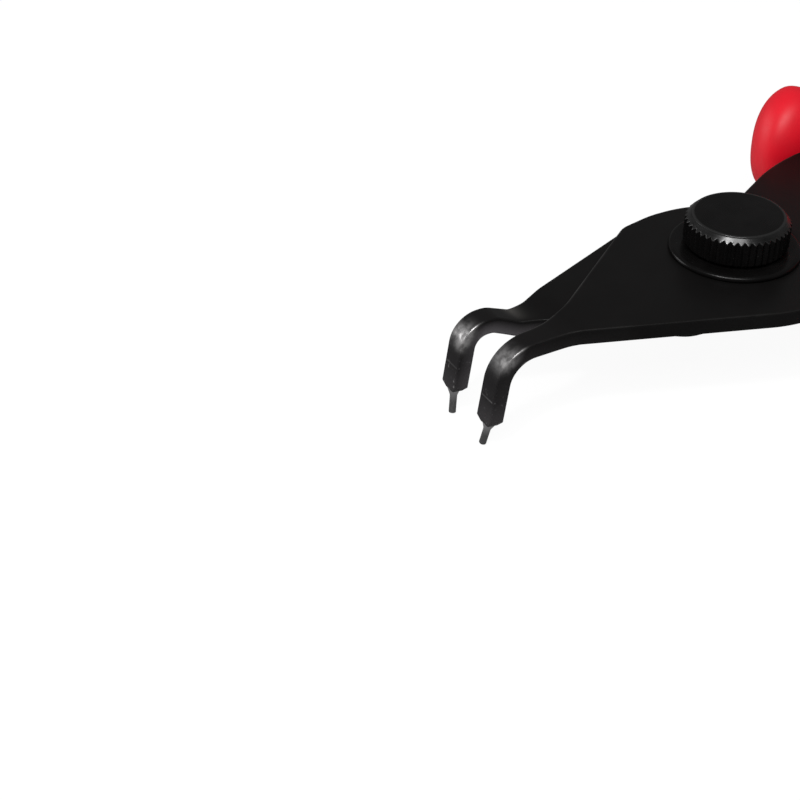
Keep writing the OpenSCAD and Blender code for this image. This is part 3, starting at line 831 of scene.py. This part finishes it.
class PLIERS_OT_tip_pins(bpy.types.Operator):
    """Make the two tip pins with their flared bases"""

    bl_idname = "pliers.tip_pins"
    bl_label = "Tip pins"

    def execute(self, context):
        look = context.scene.pliers_look
        finish = steel_finish("ground_pin_steel", look.steel, 3000.0, 0.3, 0.42, look.pin_tip)
        t = np.linspace(0, 1, 9)
        flare = np.stack([PIN_BASE_R + (PIN_R - PIN_BASE_R) * ease(t, -0.3, 1.1), -PIN_FLARE_H * t], 1)
        q = np.linspace(0, np.pi / 2, 6)[:-1]
        end = np.stack([PIN_R - PIN_END_R * (1 - np.cos(q)), -PIN_LENGTH + PIN_END_R * (1 - np.sin(q))], 1)
        root = [
            (PIN_ROOT_R - 0.1, PIN_ROOT_H), (PIN_ROOT_R, PIN_ROOT_H - 0.1), (PIN_ROOT_R, 0.5),
            (PIN_BASE_R - 0.1, 0.4), (PIN_BASE_R - 0.03, 0.05)
        ]
        profile = np.concatenate([root, flare, [(PIN_R, -2.5), (PIN_R, 0.3 - PIN_LENGTH)], end])
        for name, side, body in (("far", 1, "lower_lever"), ("near", -1, "upper_lever")):
            rings = pin_points(profile, side)
            points, faces = skin(rings, flip=side == -1)
            to_tip = np.append(np.repeat(ease(-profile[:, 1], 0.2, 2.6), rings.shape[1]), [0.0, 1.0])
            attributes = {"to_tip": to_tip}
            put(f"{name}_ring_pin", points, faces, body, f"{name}_tip_pin", finish, attributes)
        return {"FINISHED"}


class PLIERS_OT_pivot(bpy.types.Operator):
    """Make the pivot post, the washer and the knurled thumb screw"""

    bl_idname = "pliers.pivot"
    bl_label = "Pivot"

    def execute(self, context):
        look = context.scene.pliers_look
        finish = black_turned_finish(look)
        q = np.linspace(0, np.pi / 2, 7)
        rim_w, rim_h = 1.2, 1.5
        rim = np.stack([FLANGE_R - rim_w + rim_w * np.sin(q), rim_h - rim_h * np.cos(q)], 1)
        flat = [(0.4, 0.0), (7.4, 0.0), (7.7, 0.0)]
        barrel = [
            (FLANGE_R, 1.8), (FLANGE_R - 0.05, FLANGE_T), (POST_R, FLANGE_T), (POST_R, POST_TOP_Z - 0.2),
            (POST_R - 0.2, POST_TOP_Z), (BORE_R, POST_TOP_Z), (BORE_R, 1.02)
        ]
        points, faces = skin(revolve(np.concatenate([flat, rim, barrel]), 160))
        put("pivot_rivet", points, faces, "lower_lever", "pivot_post", finish)
        low, top, roll = POST_TOP_Z, POST_TOP_Z + WASHER_T, 0.62
        edge = np.stack([WASHER_R - roll + roll * np.cos(q), top - roll + roll * np.sin(q)], 1)
        hole = 3.3
        under = [(hole, low), (WASHER_R - 0.3, low), (WASHER_R - 0.15, low + 0.05), (WASHER_R, low + 0.25)]
        over = [(WASHER_R - 1.0, top), (hole + 0.2, top), (hole, top - 0.2)]
        points, faces = skin(revolve(np.concatenate([under, edge, over]), 224), closed_rows=True)
        put("pivot_washer", points, faces, "washer", "washer", finish)
        rings, worn = knurled_head(look.knurl_count, look.knurl_depth)
        points, faces = skin(rings)
        worn = {"worn": np.append(worn.ravel(), [0.0, 0.0])}
        put("knurled_screw", points, faces, "thumb_screw", "thumb_screw", finish, worn)
        return {"FINISHED"}


class PLIERS_OT_spring(bpy.types.Operator):
    """Make the coiled return spring"""

    bl_idname = "pliers.spring"
    bl_label = "Return spring"

    def execute(self, context):
        look = context.scene.pliers_look
        finish = steel_finish("drawn_spring_wire", look.wire, 2200.0, 0.24, 0.38)
        path, level = spring_path()
        points, faces = skin(tube(path, level, WIRE_R, 18))
        piece = put("return_coil", points, faces, None, "return_spring", finish)
        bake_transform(piece)
        return {"FINISHED"}


class PLIERS_OT_grips(bpy.types.Operator):
    """Make the two moulded grips"""

    bl_idname = "pliers.grips"
    bl_label = "Grips"

    def execute(self, context):
        look = context.scene.pliers_look
        finish = red_grip_finish(look)
        surface = grip_surface(220, 96)
        for which, side, height in (("upper", 1, MID_Z + PLATE_T / 2), ("lower", -1, MID_Z - PLATE_T / 2)):
            points, faces = skin(surface * [1, side, 1] + [0, 0, height], flip=side == -1)
            put(f"{which}_handle_grip", points, faces, f"{which}_lever", f"{which}_grip", finish)
        return {"FINISHED"}


def area_light(name, place, aim, power, width, height):
    """A rectangular softbox at place that faces aim, in metres."""
    lamp = bpy.data.lights.new(name, "AREA")
    lamp.shape, lamp.size, lamp.size_y, lamp.energy = "RECTANGLE", width, height, power
    box = bpy.data.objects.new(name, lamp)
    box.location = place
    box.rotation_euler = (Vector(aim) - Vector(place)).to_track_quat("-Z", "Y").to_euler()
    bpy.context.scene.collection.objects.link(box)


class PLIERS_OT_stage(bpy.types.Operator):
    """Make the table, the light and the camera"""

    bl_idname = "pliers.stage"
    bl_label = "Stage"

    def execute(self, context):
        scene, stage = context.scene, context.scene.pliers_stage
        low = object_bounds()[0].z - 0.0002
        half = 3.0
        corners = [(-half, -half, low), (half, -half, low), (half, half, low), (-half, half, low)]
        mesh = bpy.data.meshes.new("table")
        mesh.from_pydata(corners, [], [(0, 1, 2, 3)])
        mesh.materials.append(white_stage_finish("white_table", 0.94, stage.table_gloss))
        table = bpy.data.objects.new("table", mesh)
        scene.collection.objects.link(table)
        table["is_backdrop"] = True

        world = bpy.data.worlds.new("white_room")
        world.use_nodes = True
        nodes, links = world.node_tree.nodes, world.node_tree.links
        nodes.clear()
        rays = nodes.new("ShaderNodeLightPath")
        level = nodes.new("ShaderNodeMapRange")
        level.inputs["To Min"].default_value = stage.sky
        level.inputs["To Max"].default_value = 1.0
        links.new(rays.outputs["Is Camera Ray"], level.inputs["Value"])
        mirrored = nodes.new("ShaderNodeMapRange")
        mirrored.inputs["To Max"].default_value = stage.sky_gloss
        links.new(rays.outputs["Is Glossy Ray"], mirrored.inputs["Value"])
        links.new(level.outputs["Result"], mirrored.inputs["To Min"])
        glow = nodes.new("ShaderNodeBackground")
        glow.inputs["Color"].default_value = (1.0, 1.0, 1.0, 1.0)
        links.new(mirrored.outputs["Result"], glow.inputs["Strength"])
        out = nodes.new("ShaderNodeOutputWorld")
        links.new(glow.outputs[0], out.inputs["Surface"])
        scene.world = world

        area_light("overhead_softbox", (-0.21, -0.27, 0.50), (0.0, 0.0, 0.0), stage.key, 0.30, 0.30)
        area_light("small_lamp", (-0.33, -0.15, 0.49), (0.0, 0.0, 0.0), stage.lamp, 0.055, 0.055)
        area_light("back_strip", (-0.50, 0.53, 0.17), (-0.05, 0.0, 0.0), stage.rim, 0.32, 0.26)

        a, e = math.radians(stage.azimuth), math.radians(stage.elevation)
        back = Vector((math.sin(a) * math.cos(e), -math.cos(a) * math.cos(e), math.sin(e)))
        right = Vector((math.cos(a), math.sin(a), 0.0))
        up = back.cross(right)
        lens = bpy.data.cameras.new("camera")
        lens.sensor_width, lens.lens = 36.0, stage.lens
        lens.shift_y = 1.0 / 800.0
        lens.clip_start, lens.clip_end = 0.01, 20.0
        camera = bpy.data.objects.new("camera", lens)
        reach = right * -stage.reach[0] + up * -stage.reach[1] + back * stage.reach[2]
        place = reach * MM + Vector((0, 0, MID_Z * MM))
        turn = Matrix((right, up, back)).transposed().to_4x4()
        camera.matrix_world = Matrix.Translation(place) @ turn
        scene.collection.objects.link(camera)
        scene.camera = camera
        scene.view_settings.view_transform = "Standard"
        return {"FINISHED"}


class PLIERS_PT_panel(bpy.types.Panel):
    """The pliers' operators and settings in the sidebar"""

    bl_label = "Circlip pliers"
    bl_idname = "PLIERS_PT_panel"
    bl_space_type = "VIEW_3D"
    bl_region_type = "UI"
    bl_category = "Pliers"

    def draw(self, context):
        for operator in OPERATORS:
            self.layout.operator(operator.bl_idname)
        for group in (context.scene.pliers_look, context.scene.pliers_stage):
            for key in group.bl_rna.properties.keys():
                if key not in {"rna_type", "name"}:
                    self.layout.prop(group, key)


OPERATORS = (
    PLIERS_OT_levers, PLIERS_OT_tip_pins, PLIERS_OT_pivot, PLIERS_OT_spring, PLIERS_OT_grips, PLIERS_OT_stage)
CLASSES = (PliersLook, PliersStage, *OPERATORS, PLIERS_PT_panel)


def register():
    for cls in CLASSES:
        bpy.utils.register_class(cls)
    bpy.types.Scene.pliers_look = bpy.props.PointerProperty(type=PliersLook)
    bpy.types.Scene.pliers_stage = bpy.props.PointerProperty(type=PliersStage)


def unregister():
    del bpy.types.Scene.pliers_stage
    del bpy.types.Scene.pliers_look
    for cls in reversed(CLASSES):
        bpy.utils.unregister_class(cls)


def main():
    register()
    for operator in OPERATORS:
        group, name = operator.bl_idname.split(".")
        getattr(getattr(bpy.ops, group), name)()


if __name__ == "__main__":
    main()
